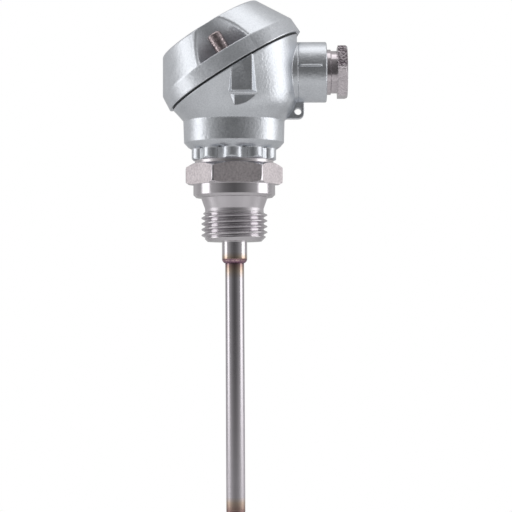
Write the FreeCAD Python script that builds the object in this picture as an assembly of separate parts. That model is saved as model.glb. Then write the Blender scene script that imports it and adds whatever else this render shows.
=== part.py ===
import FreeCAD, Part
import math
import os

from FreeCAD import Placement, Rotation, Vector

# Screw-in resistance thermometer with a small die-cast terminal head.
# Millimetres. The origin is the middle of the sealing face under the flange, +Z points up to the
# head, -Z down the probe, +X towards the cable entry, and -Y is the side that faces the viewer.

# Clearances and fits, radial unless a name says otherwise
thread_play = 0.05          # between a screw thread's crest and its tapped hole
tube_play = 0.04            # protection tube in the bore of the fitting
insert_play = 0.15          # ceramic and brass parts in their pockets
wire_play = 0.05            # lead in its bore of the ceramic rod

# Process fitting, turned from hexagon bar
thread_diameter = 20.955    # G 1/2 over the crests
thread_end = -14.0
thread_lead_in = 1.0
relief_end = -3.6
relief_radius = 9.3
relief_mouth = 0.12         # the relief starts this far outside the thread's crest
thread_start_bevel = 0.6
flange_diameter = 26.0
flange_height = 4.1
flange_bevel = 0.8
hex_flats = 27.0
hex_height = 6.6
hex_turn = 4.6              # degrees that the front flat is turned towards +X
hex_top_face = 26.7         # diameter left flat by the top bevel
hex_low_face = 28.8         # diameter left flat by the bottom bevel
hex_bevel_angle = 30.0
spigot_diameter = 8.0
spigot_length = 5.6
neck_thread_diameter = 20.0
neck_thread_length = 9.0
neck_thread_bevel = 0.8
wire_room_diameter = 13.0
wire_room_floor = 8.0

# Flat sealing ring between the fitting's hexagon and the head's neck
seal_thickness = 1.1
seal_width = 2.4

# Probe
tube_diameter = 6.0
tube_wall = 0.7
tube_shank_step = 0.2       # the tube is turned down by this, radial, where it enters the fitting
immersion_length = 100.0
tip_thickness = 1.1
tip_round = 0.6
plug_depth = 0.9
weld_height = 1.3
element_diameter = 3.0
element_length = 14.0
rod_diameter = 4.2
rod_above_tube = 1.0
lead_diameter = 0.8
lead_circle = 1.0
lead_bend = 1.6
lead_count = 4
first_lead_angle = 45.0

# Collar and lobed neck of the head
lobe_count = 10
lobe_radius = 13.8
lobe_gap = 2.1
lobe_gap_floor = 12.3
lobe_height = 3.5
lobe_turn = -2.0
lobe_round = 1.0
shoulder_low_radius = 14.0
shoulder_height = 2.1
collar_low_radius = 15.9
collar_high_radius = 16.1
collar_height = 6.8

# Bowl: one smooth skin from the collar's circle up to the slanting circle of the rim
lid_tilt = 31.0
lid_x = 0.4
lid_z = 40.3
rim_radius = 23.4
bowl_foot_step = 0.1        # the bowl starts this far inside the collar's top edge
bowl_slope = 49.5
slant_front = 3.4           # how far the slanting underside runs in front and on the left
slant_left = 2.7
turn_right = 5.1            # how far before and after its corner the wall turns upright, all round
turn_front = 2.6
turn_left = 1.0
side_fullness = 1.2         # the wall on the cable entry's side stands out by up to this
side_cut = 0.36             # the flat of the cable entry's side lies this far inside the rim
bowl_bearings = 24          # bearings at which the wall's outline is drawn
turn_shares = (0.0, 0.33, 0.67, 1.0)
side_swell = (0.0, 0.0, 0.3, 0.7, 1.0, 1.0, 0.0)
head_wall = 2.0
floor_thickness = 4.1
throat_diameter = 13.6
stop_gap = 0.6              # between the fitting's top end and the stop in the neck

# Lid, in its own frame: n is the height above the seam, along the lid's axis
lid_overhang = 0.8          # the lid's band stands out over the bowl's rim by this
lid_band_taper = 0.3
lid_band = 4.8
lid_height = 15.7
lid_cone_run = 6.6          # how far the cone draws in from the band to the top
lid_wall = 2.0
lid_band_round = 0.9
lid_round = 1.0             # of the top's edge and of the notches' upright edges
notch_radius = 9.2
notch_stand = 1.1           # the notch is struck from this far outside the lid's edge
notch_step = 0.25           # the notch's floor lies this far above the band
notch_wall = 1.8
gasket_thickness = 0.6
gasket_setback = 0.4        # the gasket's edge lies this far inside the bowl's rim
gasket_width = 1.7
gasket_ear = 3.2
gasket_hole_play = 0.4

# Captive lid screws, front and back
lid_screw_inset = 3.4       # from the bowl's rim to the screw's axis
lid_screw_shift = -0.8      # the screws and their notches lie this far down the slope of the lid
lid_screw_thread = 3.0
lid_screw_reach = 6.5
lid_screw_head = 4.6
lid_screw_head_height = 6.1
lid_screw_bevel = 0.35
lid_screw_slot = 0.8
lid_screw_slot_depth = 1.5
screw_post_radius = 3.6
screw_post_length = 15.0
tap_depth = 7.6

# Blocks on the bowl's front and back that back up the lid screws
block_left = -0.5
block_right = 5.9
block_setback = 0.4         # the block's face lies this far inside the bowl's rim
block_depth = 5.0
block_draft = 1.4
block_foot = 31.6

# Pocket cast under each block, with an upright back wall and sides that open at 45 degrees
pocket_left = 0.4
pocket_right = 7.5
pocket_top = 31.0
pocket_setback = 5.0        # the back wall lies this far inside the bowl's rim
pocket_pad = 2.0            # wall left between the pocket and the wiring room
pocket_pad_side = 3.5

# Cable entry
entry_z = 39.8
boss_radius = 9.6
boss_stub = 0.3             # the boss's round stub on the bowl's flat
boss_length = 9.1
boss_bevel = 0.3
entry_seat_step = 0.1       # the seat of the gland lies this far inside the bowl's flat
entry_throat = 10.0
gland_thread = 14.4
gland_seal_length = 4.5
gland_seal_bore = 6.8
gland_washer = 0.8
gland_washer_bore = 9.2
gland_ring_out = 1.4        # the last turn of the thread, still outside the boss
gland_ring_play = 0.2
gland_neck = 13.5
gland_hex_out = 3.5         # from the boss to the hexagon
gland_hex_length = 3.1
gland_hex_flats = 16.0
gland_hex_face = 16.2
gland_bore = 8.0
gland_mouth = 10.0
gland_mouth_depth = 0.8

# Web lug under the cable entry
lug_bottom = 24.9
lug_thickness = 2.8
lug_corner = 1.8
lug_hole = 2.1
lug_hole_z = 27.2
lug_hole_land = 0.8         # between the hole and the bowl's slanting underside
lug_hole_inset = 1.9        # from the hole's axis to the lug's edge

# Terminal block on the floor of the head
block_radius = 12.6
block_height = 6.0
block_edge = 0.5
block_hole = 4.6
pocket_depth = 3.2
clamp_length = 4.9
clamp_width = 4.5
clamp_height = 6.0
clamp_circle = 7.35
clamp_bore = 1.2
wire_above_block = 0.8
wire_grip = 0.1
clamp_screw_thread = 2.0
clamp_screw_head = 3.8
clamp_screw_head_height = 1.4
clamp_screw_slot = 0.6
clamp_screw_slot_depth = 0.7
fixing_offset = 9.8
fixing_thread = 2.5
fixing_hole = 2.9
fixing_head = 4.4
fixing_head_height = 1.5
fixing_reach = 3.0

# Heights and radii worked out from the sizes above
hex_top = flange_height + hex_height
neck_low = hex_top + seal_thickness
shoulder_low = neck_low + lobe_height
collar_low = shoulder_low + shoulder_height
bowl_low = collar_low + collar_height
fitting_top = hex_top + neck_thread_length + neck_thread_bevel
neck_stop = fitting_top + stop_gap
head_floor = neck_stop + floor_thickness
spigot_end = thread_end - spigot_length
tube_end = -immersion_length + tip_thickness
tube_bore_radius = tube_diameter / 2 - tube_wall
plug_top = tube_end + plug_depth
element_top = plug_top + element_length
rod_top = wire_room_floor + rod_above_tube
thread_radius = thread_diameter / 2
seal_bore = neck_thread_diameter + 4 * thread_play
seal_diameter = seal_bore + 2 * seal_width
shank_diameter = tube_diameter - 2 * tube_shank_step
weld_end = spigot_end - weld_height
bowl_foot_radius = collar_high_radius - bowl_foot_step
bowl_side = lid_x + rim_radius * math.cos(math.radians(lid_tilt)) - side_cut
slant_right = (bowl_side - bowl_foot_radius) / math.cos(math.radians(bowl_slope))
boss_root = bowl_side + boss_stub
boss_end = boss_root + boss_length
entry_seat = bowl_side - entry_seat_step
gland_ring_end = boss_end + gland_ring_out
gland_hex_start = boss_end + gland_hex_out
gland_hex_end = gland_hex_start + gland_hex_length
lug_hole_foot = bowl_foot_radius + (lug_hole_z - bowl_low) / math.tan(math.radians(bowl_slope))
lug_hole_x = lug_hole_foot + lug_hole_land + lug_hole / 2
lug_right = lug_hole_x + lug_hole_inset
lid_radius = rim_radius + lid_overhang
lid_band_top_radius = lid_radius - lid_band_taper
lid_top_radius = lid_band_top_radius - lid_cone_run
notch_offset = lid_radius + notch_stand
lid_screw_offset = rim_radius - lid_screw_inset
block_face = rim_radius - block_setback
pocket_back = rim_radius - pocket_setback
block_top = head_floor + block_height
lead_height = block_top + wire_above_block
clamp_low = block_top - pocket_depth
clamp_top = clamp_low + clamp_height
washer_end = entry_seat + gland_washer
seal_end = washer_end + gland_seal_length
gland_start = seal_end + gland_washer

up = Vector(0, 0, 1)
along_y = Vector(0, 1, 0)
centre = Vector(0, 0, 0)
lid_place = Placement(Vector(lid_x, 0, lid_z), Rotation(along_y, -lid_tilt))
entry_place = Placement(Vector(0, 0, entry_z), Rotation(along_y, 90))


def save(node, shape):
    """Write one piece as its own file."""
    shape.exportStep(f"parts/{node}.step")


def placed(shape, place):
    """A copy of a shape in another frame."""
    return shape.transformed(place.toMatrix())


def turned(points):
    """A piece turned on the Z axis from its half outline, given as (radius, height)."""
    outline = [Vector(radius, 0, height) for radius, height in points]
    return Part.Face(Part.makePolygon(outline + outline[:1])).revolve(centre, up, 360)


def bar(diameter, low, high, x=0.0, y=0.0):
    """An upright round bar."""
    return Part.makeCylinder(diameter / 2, high - low, Vector(x, y, low))


def ring(outer, inner, low, high):
    """A flat ring on the Z axis, from its two diameters."""
    return bar(outer, low, high).cut(bar(inner, low, high))


def box(low, high):
    """A block between two corners."""
    size = [b - a for a, b in zip(low, high)]
    return Part.makeBox(*size, Vector(*low))


def rounded(shape, radius, chosen):
    """Round the edges whose middle point passes the test."""
    edges = [edge for edge in shape.Edges if chosen(edge.CenterOfMass, edge)]
    return shape.makeFillet(radius, edges)


def hex_bar(flats, low, high, low_face, high_face, turn):
    """A hexagon with bevelled corners; turn is the angle of its first corner."""
    corner = flats / 2 / math.cos(math.radians(30))
    fall = math.tan(math.radians(hex_bevel_angle))
    outline = []
    for index in range(6):
        angle = math.radians(turn + 60 * index)
        outline.append(Vector(corner * math.cos(angle), corner * math.sin(angle), low))
    prism = Part.Face(Part.makePolygon(outline + outline[:1])).extrude(Vector(0, 0, high - low))
    envelope = turned([
        (0, low),
        (low_face / 2, low),
        (corner, low + (corner - low_face / 2) * fall),
        (corner, high - (corner - high_face / 2) * fall),
        (high_face / 2, high),
        (0, high),
    ])
    return prism.common(envelope)


def slotted_screw(thread, reach, head, head_height, bevel, slot, slot_depth):
    """A slotted cheese-head screw; its head sits on z = 0 and its thread points down."""
    screw = turned([
        (0, -reach),
        (thread / 2 - bevel, -reach),
        (thread / 2, -reach + bevel),
        (thread / 2, 0),
        (head / 2, 0),
        (head / 2, head_height - bevel),
        (head / 2 - bevel, head_height),
        (0, head_height),
    ])
    half = slot / 2
    return screw.cut(box((-head, -half, head_height - slot_depth), (head, half, head_height + 1)))


def process_fitting():
    """Neck thread, hexagon, flange, thread relief, G 1/2 thread and spigot, bored for the tube."""
    hexagon = hex_bar(hex_flats, flange_height, hex_top, hex_low_face, hex_top_face, hex_turn)
    neck_radius = neck_thread_diameter / 2
    stem = turned([
        (0, spigot_end),
        (spigot_diameter / 2, spigot_end),
        (spigot_diameter / 2, thread_end),
        (thread_radius - thread_lead_in, thread_end),
        (thread_radius, thread_end + thread_lead_in),
        (thread_radius, relief_end - thread_start_bevel),
        (relief_radius, relief_end),
        (thread_radius + relief_mouth, 0),
        (flange_diameter / 2 - flange_bevel, 0),
        (flange_diameter / 2, flange_bevel),
        (flange_diameter / 2, flange_height),
        (neck_radius, flange_height),
        (neck_radius, fitting_top - neck_thread_bevel),
        (neck_radius - neck_thread_bevel, fitting_top),
        (0, fitting_top),
    ])
    tube_bore = bar(shank_diameter + 2 * tube_play, spigot_end, wire_room_floor)
    wire_room = bar(wire_room_diameter, wire_room_floor, fitting_top)
    return hexagon.fuse(stem).removeSplitter().cut(tube_bore).cut(wire_room)


def round_the_bowl(right, front, left, bearing):
    """A value that has these three amounts on the right, in front and on the left of the bowl."""
    across = math.cos(bearing)
    return front + (right - left) / 2 * across + ((right + left) / 2 - front) * across ** 2


def bowl_wall(inset, bearing):
    """Points up the bowl's wall at one bearing: slanting underside, rounded corner, wall to the rim."""
    slope = math.radians(bowl_slope)
    outward = Vector(math.cos(bearing), math.sin(bearing), 0)
    slant = outward * math.cos(slope) + up * math.sin(slope)
    foot_radius = bowl_foot_radius - inset * math.sin(slope)
    foot = outward * foot_radius + up * (bowl_low + inset * math.cos(slope))
    corner = foot + slant * round_the_bowl(slant_right, slant_front, slant_left, bearing)
    rim = lid_place.multVec(outward * (rim_radius - inset))
    rise = rim - corner
    turn = round_the_bowl(turn_right, turn_front, turn_left, bearing)
    before = corner - slant * turn
    after = corner + rise * (turn / rise.Length)
    points = [foot]
    for share in turn_shares:
        points.append(before * (1 - share) ** 2 + corner * (2 * share * (1 - share)) + after * share ** 2)
    points += [(after + rim) * 0.5, rim]
    # The side under the cable entry is fuller between its two ends, on both sides of the flat.
    full = Vector(side_fullness * max(outward.x, 0) ** 2 * (1 - outward.x ** 4), 0, 0)
    return [point + full * swell for point, swell in zip(points, side_swell)]


def bowl(inset):
    """The bowl's form, drawn in by inset and cut flat on the cable entry's side."""
    bearings = [2 * math.pi * index / bowl_bearings for index in range(bowl_bearings)]
    sections = []
    for loop in zip(*[bowl_wall(inset, bearing) for bearing in bearings]):
        curve = Part.BSplineCurve()
        curve.interpolate(Points=list(loop), PeriodicFlag=True)
        sections.append(Part.Wire(curve.toShape()))
    skin = Part.makeLoft(sections, True)
    beyond = box((bowl_side - inset, -lid_radius, 0), (2 * lid_radius, lid_radius, 3 * lid_radius))
    return skin.cut(beyond)


def lobed_neck():
    """The round neck with its ring of lobes, shoulder and collar."""
    neck = turned([
        (0, neck_low),
        (lobe_radius, neck_low),
        (lobe_radius, shoulder_low),
        (shoulder_low_radius, shoulder_low),
        (collar_low_radius, collar_low),
        (collar_high_radius, bowl_low),
        (0, bowl_low),
    ])
    reach = lobe_radius + 1
    gap = box((lobe_gap_floor, -lobe_gap / 2, neck_low), (reach, lobe_gap / 2, shoulder_low))
    for index in range(lobe_count):
        angle = -90 + lobe_turn + 360 / lobe_count * (index + 0.5)
        neck = neck.cut(gap.rotated(centre, up, angle))

    def lobe_corner(point, edge):
        radius = math.hypot(point.x, point.y)
        upright = edge.BoundBox.ZLength > lobe_height / 2 and radius > lobe_gap_floor + 1
        foot = abs(point.z - neck_low) < 0.01 and radius > lobe_gap_floor + 1
        return point.z < shoulder_low and (upright or foot)

    return rounded(neck, lobe_round, lobe_corner)


def screw_block(side):
    """Upright block on the bowl's wall, drafted at its sides."""
    back = block_face - block_depth
    outline = [
        Vector(block_left, side * block_face, block_foot),
        Vector(block_right, side * block_face, block_foot),
        Vector(block_right + block_draft, side * back, block_foot),
        Vector(block_left - block_draft, side * back, block_foot),
    ]
    return Part.Face(Part.makePolygon(outline + outline[:1])).extrude(up * rim_radius)


def block_pocket(side):
    """The pocket below a block: an upright back wall, its sides opening outwards."""
    reach = lid_radius - pocket_back
    outline = [
        Vector(pocket_left, side * pocket_back, bowl_low),
        Vector(pocket_right, side * pocket_back, bowl_low),
        Vector(pocket_right + reach, side * lid_radius, bowl_low),
        Vector(pocket_left - reach, side * lid_radius, bowl_low),
    ]
    return Part.Face(Part.makePolygon(outline + outline[:1])).extrude(up * (pocket_top - bowl_low))


def pocket_wall(side):
    """Thicker wall inside the bowl, behind a block's pocket."""
    inner = pocket_back - pocket_pad
    low = (pocket_left - pocket_pad_side, min(side * inner, side * lid_radius), bowl_low)
    high = (pocket_right + pocket_pad_side, max(side * inner, side * lid_radius), pocket_top + pocket_pad)
    return box(low, high)


def tag_lug():
    """Web cast in the corner under the cable entry, with a hole for a tag or a sealing wire."""
    half = lug_thickness / 2
    web = box((bowl_foot_radius / 2, -half, lug_bottom), (lug_right, half, entry_z))

    def outer_corner(point, edge):
        at_corner = abs(point.x - lug_right) < 0.01 and abs(point.z - lug_bottom) < 0.01
        return at_corner and edge.BoundBox.YLength > half

    web = rounded(web, lug_corner, outer_corner)
    drill = Part.makeCylinder(lug_hole / 2, lug_thickness, Vector(lug_hole_x, -half, lug_hole_z), along_y)
    boss = placed(bar(2 * boss_radius, 0, boss_end), entry_place)
    return web.cut(drill).cut(boss).cut(bowl(0.0))


def cable_boss():
    """The cable entry's round stub, tapped for the gland."""
    tap = gland_thread / 2 + thread_play
    return placed(turned([
        (tap, boss_root),
        (boss_radius, boss_root),
        (boss_radius, boss_end - boss_bevel),
        (boss_radius - boss_bevel, boss_end),
        (tap, boss_end),
    ]), entry_place)


def head_outside():
    """The bowl, its neck, the root of the cable boss and the screw blocks, as one solid block."""
    boss = placed(bar(2 * boss_radius, lid_x, boss_root), entry_place)
    outside = bowl(0.0).fuse([lobed_neck(), boss, screw_block(-1), screw_block(1)])
    outside = outside.cut(block_pocket(-1)).cut(block_pocket(1))
    above = box((-60, -60, -gasket_thickness), (60, 60, 60))
    return outside.cut(placed(above, lid_place)).removeSplitter()


def head_body():
    """The casting, hollowed, tapped for the fitting, the gland and the screws."""
    floor_radius = bowl_foot_radius - head_wall
    room = bowl(head_wall).fuse(bar(2 * floor_radius, head_floor, bowl_low + head_wall))
    posts = [pocket_wall(-1), pocket_wall(1)]
    taps = []
    for side in (-1, 1):
        post = bar(2 * screw_post_radius, -screw_post_length, 0, lid_screw_shift, side * lid_screw_offset)
        tap = bar(
            lid_screw_thread + 2 * thread_play, -gasket_thickness - tap_depth, 0,
            lid_screw_shift, side * lid_screw_offset
        )
        posts.append(placed(post, lid_place))
        taps.append(placed(tap, lid_place))
        taps.append(bar(fixing_thread + 2 * thread_play, neck_stop, head_floor, 0, side * fixing_offset))
    neck_tap = bar(neck_thread_diameter + 2 * thread_play, neck_low, neck_stop)
    throat = bar(throat_diameter, neck_stop, head_floor)
    entry_tap = bar(gland_thread + 2 * thread_play, entry_seat, boss_root)
    entry_hole = bar(entry_throat, lid_x, entry_seat)
    cuts = [room.cut(posts), neck_tap, throat]
    cuts += [placed(entry_tap, entry_place), placed(entry_hole, entry_place)] + taps
    body = head_outside()
    for cut in cuts:
        body = body.cut(cut)
    return body.removeSplitter()


def lid_corner(point, edge):
    """The lid's top edge and the upright edges of its notches, in the lid's own frame."""
    middle = edge.valueAt((edge.FirstParameter + edge.LastParameter) / 2)
    ends = [vertex.Point for vertex in edge.Vertexes]
    if edge.BoundBox.ZLength < 0.01:
        return middle.z > lid_height - 0.01 and abs(math.hypot(middle.x, middle.y) - lid_top_radius) < 0.01
    return all(abs(math.hypot(end.x - lid_screw_shift, abs(end.y) - notch_offset) - notch_radius) < 0.01
               for end in ends)


def head_lid():
    """Oblique cap: a low band, a cone and a flat top, scooped out at both screws."""
    outside = turned([
        (0, 0),
        (lid_radius, 0),
        (lid_band_top_radius, lid_band),
        (lid_top_radius, lid_height),
        (0, lid_height),
    ])
    outside = rounded(outside, lid_band_round, lambda point, edge: abs(edge.BoundBox.ZMin - lid_band) < 0.01
                      and edge.BoundBox.ZLength < 0.01)
    cone = math.atan2(lid_band_top_radius - lid_top_radius, lid_height - lid_band)
    inner_band = lid_band_top_radius - lid_wall / math.cos(cone)
    inner_top = lid_height - lid_wall
    inner_top_radius = inner_band - (inner_top - lid_band) * math.tan(cone)
    inside = turned([
        (0, 0),
        (inner_band, 0),
        (inner_band, lid_band),
        (inner_top_radius, inner_top),
        (0, inner_top),
    ])
    notch_floor = lid_band + notch_step
    for side in (-1, 1):
        keep = bar(2 * (notch_radius + notch_wall), 0, lid_height, lid_screw_shift, side * notch_offset)
        inside = inside.cut(keep)
        notch = bar(2 * notch_radius, notch_floor, lid_height + 1, lid_screw_shift, side * notch_offset)
        outside = outside.cut(notch)
    outside = rounded(outside, lid_round, lid_corner)
    for side in (-1, 1):
        hole = bar(lid_screw_thread + 2 * thread_play, 0, notch_floor, lid_screw_shift, side * lid_screw_offset)
        outside = outside.cut(hole)
    return placed(outside.cut(inside), lid_place)


def lid_gasket():
    """Flat seal of the rim's own outline, with an ear round each lid screw."""
    edge = 2 * (rim_radius - gasket_setback)
    low = -gasket_thickness
    seal = ring(edge, edge - 2 * gasket_width, low, 0)
    for side in (-1, 1):
        ear = bar(2 * gasket_ear, low, 0, lid_screw_shift, side * lid_screw_offset).common(bar(edge, low, 0))
        seal = seal.fuse(ear)
    for side in (-1, 1):
        hole = lid_screw_thread + 2 * gasket_hole_play
        seal = seal.cut(bar(hole, low, 0, lid_screw_shift, side * lid_screw_offset))
    return placed(seal.removeSplitter(), lid_place)


def lid_screw(side):
    """Captive lid screw, its head standing on the floor of the notch."""
    seat = lid_band + notch_step
    reach = seat + gasket_thickness + lid_screw_reach
    screw = slotted_screw(lid_screw_thread, reach, lid_screw_head, lid_screw_head_height,
                          lid_screw_bevel, lid_screw_slot, lid_screw_slot_depth)
    screw.translate(Vector(lid_screw_shift, side * lid_screw_offset, seat))
    return placed(screw, lid_place)


def gland_screw():
    """Pressure screw of the cable entry: thread, neck and hexagon with a rounded-out bore."""
    crest = gland_thread / 2
    stem = turned([
        (0, gland_start),
        (crest - 2 * thread_lead_in / 3, gland_start),
        (crest, gland_start + thread_lead_in),
        (crest, gland_ring_end - gland_ring_play),
        (crest - gland_ring_play, gland_ring_end),
        (gland_neck / 2, gland_ring_end),
        (gland_neck / 2, gland_hex_start),
        (0, gland_hex_start),
    ])
    corner_face = 2 * gland_hex_flats
    hexagon = hex_bar(gland_hex_flats, gland_hex_start, gland_hex_end, corner_face, gland_hex_face, 90)
    flare = turned([
        (0, gland_hex_end - gland_mouth_depth),
        (gland_bore / 2, gland_hex_end - gland_mouth_depth),
        (gland_mouth / 2, gland_hex_end),
        (0, gland_hex_end),
    ])
    screw = stem.fuse(hexagon).cut(bar(gland_bore, gland_start, gland_hex_end)).cut(flare)
    return placed(screw.removeSplitter(), entry_place)


def gland_ring(outer, inner, low, high):
    """A ring stacked in the cable entry."""
    return placed(ring(outer, inner, low, high), entry_place)


def protection_tube():
    """Thin tube from the fitting's bore to the tip, turned down above the weld's foot."""
    long_part = bar(tube_diameter, tube_end, weld_end)
    shank = bar(shank_diameter, weld_end, wire_room_floor)
    return long_part.fuse(shank).cut(bar(2 * tube_bore_radius, tube_end, wire_room_floor))


def tube_weld():
    """Bead that joins the tube to the spigot."""
    tube = tube_diameter / 2
    spigot = spigot_diameter / 2
    return turned([
        (shank_diameter / 2, spigot_end),
        (spigot, spigot_end),
        (tube + 0.6 * (spigot - tube), spigot_end - 0.6 * weld_height),
        (tube, weld_end),
        (shank_diameter / 2, weld_end),
    ])


def tip_plug():
    """Welded end of the tube, with its rim rounded and a short spigot inside."""
    radius = tube_diameter / 2
    plug = turned([
        (0, -immersion_length),
        (radius, -immersion_length),
        (radius, tube_end),
        (tube_bore_radius, tube_end),
        (tube_bore_radius, plug_top),
        (0, plug_top),
    ])
    return rounded(plug, tip_round, lambda point, edge: abs(edge.BoundBox.ZMax + immersion_length) < 0.01)


def insulator_tube():
    """Ceramic rod with one bore for each lead."""
    rod = bar(rod_diameter, element_top, rod_top)
    for index in range(lead_count):
        bore = bar(lead_diameter + 2 * wire_play, element_top, rod_top, lead_circle)
        rod = rod.cut(bore.rotated(centre, up, first_lead_angle + 360 / lead_count * index))
    return rod


def lead(index):
    """One lead: up the rod and the block's hole, then bent over into its clamp."""
    bend_x = lead_circle + lead_bend
    bend_z = lead_height - lead_bend
    bend_centre = Vector(bend_x, 0, bend_z)
    upright = bar(lead_diameter, element_top, bend_z, lead_circle)
    section = Part.Face(Part.Wire([Part.makeCircle(lead_diameter / 2, Vector(lead_circle, 0, bend_z), up)]))
    bend = section.revolve(bend_centre, along_y, 90)
    reach = clamp_circle + clamp_length / 2 - bend_x
    level = Part.makeCylinder(lead_diameter / 2, reach, Vector(bend_x, 0, lead_height), Vector(1, 0, 0))
    wire = upright.fuse([bend, level])
    return wire.rotated(centre, up, first_lead_angle + 360 / lead_count * index)


def terminal_block():
    """Round ceramic block: a hole for the leads, a pocket for each clamp, two screw holes."""
    block = bar(2 * block_radius, head_floor, block_top)
    block = rounded(block, block_edge, lambda point, edge: abs(edge.BoundBox.ZMin - block_top) < 0.01)
    half_width = clamp_width / 2 + insert_play
    inner = clamp_circle - clamp_length / 2 - insert_play
    outer = clamp_circle + clamp_length / 2 + insert_play
    pocket = box((inner, -half_width, clamp_low), (outer, half_width, block_top + 1))
    for index in range(lead_count):
        block = block.cut(pocket.rotated(centre, up, first_lead_angle + 360 / lead_count * index))
    for side in (-1, 1):
        block = block.cut(bar(fixing_hole, head_floor, block_top, 0, side * fixing_offset))
    return block.cut(bar(block_hole, head_floor, block_top))


def terminal_clamps():
    """Brass clamps, each bored for its lead and tapped for its screw."""
    half = clamp_width / 2
    inner = clamp_circle - clamp_length / 2
    outer = clamp_circle + clamp_length / 2
    clamp = box((inner, -half, clamp_low), (outer, half, clamp_top))
    mouth = Vector(inner, 0, lead_height)
    wire_hole = Part.makeCylinder(clamp_bore / 2, clamp_length, mouth, Vector(1, 0, 0))
    tap = bar(clamp_screw_thread + 2 * thread_play, lead_height, clamp_top, clamp_circle)
    clamp = clamp.cut(wire_hole).cut(tap)
    clamps = []
    for index in range(lead_count):
        clamps.append(clamp.rotated(centre, up, first_lead_angle + 360 / lead_count * index))
    return Part.makeCompound(clamps)


def terminal_screw(index):
    """Clamp screw that presses on one lead."""
    reach = clamp_top - lead_height - lead_diameter / 2 - wire_grip
    screw = slotted_screw(clamp_screw_thread, reach, clamp_screw_head, clamp_screw_head_height,
                          0.2, clamp_screw_slot, clamp_screw_slot_depth)
    screw.translate(Vector(clamp_circle, 0, clamp_top))
    return screw.rotated(centre, up, first_lead_angle + 360 / lead_count * index)


def block_screws():
    """Two screws that hold the ceramic block to the floor."""
    reach = block_height + fixing_reach
    screws = []
    for side in (-1, 1):
        screw = slotted_screw(fixing_thread, reach, fixing_head, fixing_head_height,
                              0.25, clamp_screw_slot, clamp_screw_slot_depth)
        screw.translate(Vector(0, side * fixing_offset, block_top))
        screws.append(screw)
    return Part.makeCompound(screws)


def main():
    os.makedirs("parts", exist_ok=True)
    save("process_fitting", process_fitting())
    save("neck_seal", ring(seal_diameter, seal_bore, hex_top, neck_low))
    save("protection_tube", protection_tube())
    save("tube_weld", tube_weld())
    save("tip_plug", tip_plug())
    save("rtd_element", bar(element_diameter, plug_top, element_top))
    save("insulator_tube", insulator_tube())
    save("lead_wires_red", Part.makeCompound([lead(0), lead(1)]))
    save("lead_wires_white", Part.makeCompound([lead(2), lead(3)]))
    save("head_body", head_body())
    save("cable_boss", cable_boss())
    save("tag_lug", tag_lug())
    save("head_lid", head_lid())
    save("lid_gasket", lid_gasket())
    save("lid_screw_front", lid_screw(-1))
    save("lid_screw_back", lid_screw(1))
    save("gland_screw", gland_screw())
    stack = gland_thread - 4 * thread_play
    save("gland_washer_inner", gland_ring(stack, gland_washer_bore, entry_seat, washer_end))
    save("gland_seal", gland_ring(stack, gland_seal_bore, washer_end, seal_end))
    save("gland_washer_outer", gland_ring(stack, gland_washer_bore, seal_end, gland_start))
    save("terminal_block", terminal_block())
    save("terminal_clamps", terminal_clamps())
    for index in range(lead_count):
        save(f"terminal_screw_{index + 1}", terminal_screw(index))
    save("block_screws", block_screws())


main()
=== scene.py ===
# %% [markdown]
# This is a screw-in resistance thermometer. A thin steel tube holds a measuring resistor in its tip. The
# tube is welded into a threaded steel fitting, and in the small cast head on top the cable is joined.
# The solids come from model.glb and keep their sizes. This file adds what a camera sees: the real
# thread, the finish of every surface, the light of a small studio and the camera. Lengths are in
# metres. The origin lies on the sealing face under the flange, and Z points up to the head.

import math

import bmesh
import bpy
from mathutils import Matrix, Vector


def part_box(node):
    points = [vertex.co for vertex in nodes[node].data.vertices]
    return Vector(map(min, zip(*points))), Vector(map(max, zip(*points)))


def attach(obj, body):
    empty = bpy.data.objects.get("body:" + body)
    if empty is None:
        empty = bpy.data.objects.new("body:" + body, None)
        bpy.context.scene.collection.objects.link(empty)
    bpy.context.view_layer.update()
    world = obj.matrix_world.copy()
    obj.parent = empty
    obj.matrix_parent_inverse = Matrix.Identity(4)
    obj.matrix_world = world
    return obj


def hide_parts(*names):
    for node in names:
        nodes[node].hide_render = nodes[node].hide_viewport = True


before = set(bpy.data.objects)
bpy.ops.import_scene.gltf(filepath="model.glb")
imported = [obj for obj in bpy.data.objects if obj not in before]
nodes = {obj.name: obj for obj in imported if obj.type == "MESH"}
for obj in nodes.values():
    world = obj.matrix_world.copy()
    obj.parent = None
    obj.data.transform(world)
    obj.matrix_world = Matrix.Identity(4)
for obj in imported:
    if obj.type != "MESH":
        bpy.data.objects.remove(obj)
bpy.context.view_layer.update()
scene = bpy.context.scene
MM = 0.001

# %% [markdown]
# The camera stands where the photographer stood: about 0.64 m in front, a little below the thread, with
# a long lens. A long lens keeps upright lines nearly parallel, as in a catalogue picture. The lens
# follows from the focal length in pixels of a 512-pixel picture. The horizon's row in that picture
# tells how far the camera is tipped, because tipping moves the horizon away from the middle.

# %% Camera
PICTURE_PIXELS = 512
FOCAL_PIXELS = 2000
SENSOR_WIDTH = 36.0
CAMERA_PLACE = Vector((6.8, -635.0, -37.5)) * MM
HORIZON_ROW = 315.5
CAMERA_ROLL = math.radians(-0.30)
NEAREST, FARTHEST = 0.05, 20.0


def add_object(name, data):
    """A new object of the scene that carries this data."""
    item = bpy.data.objects.new(name, data)
    scene.collection.objects.link(item)
    return item


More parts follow.
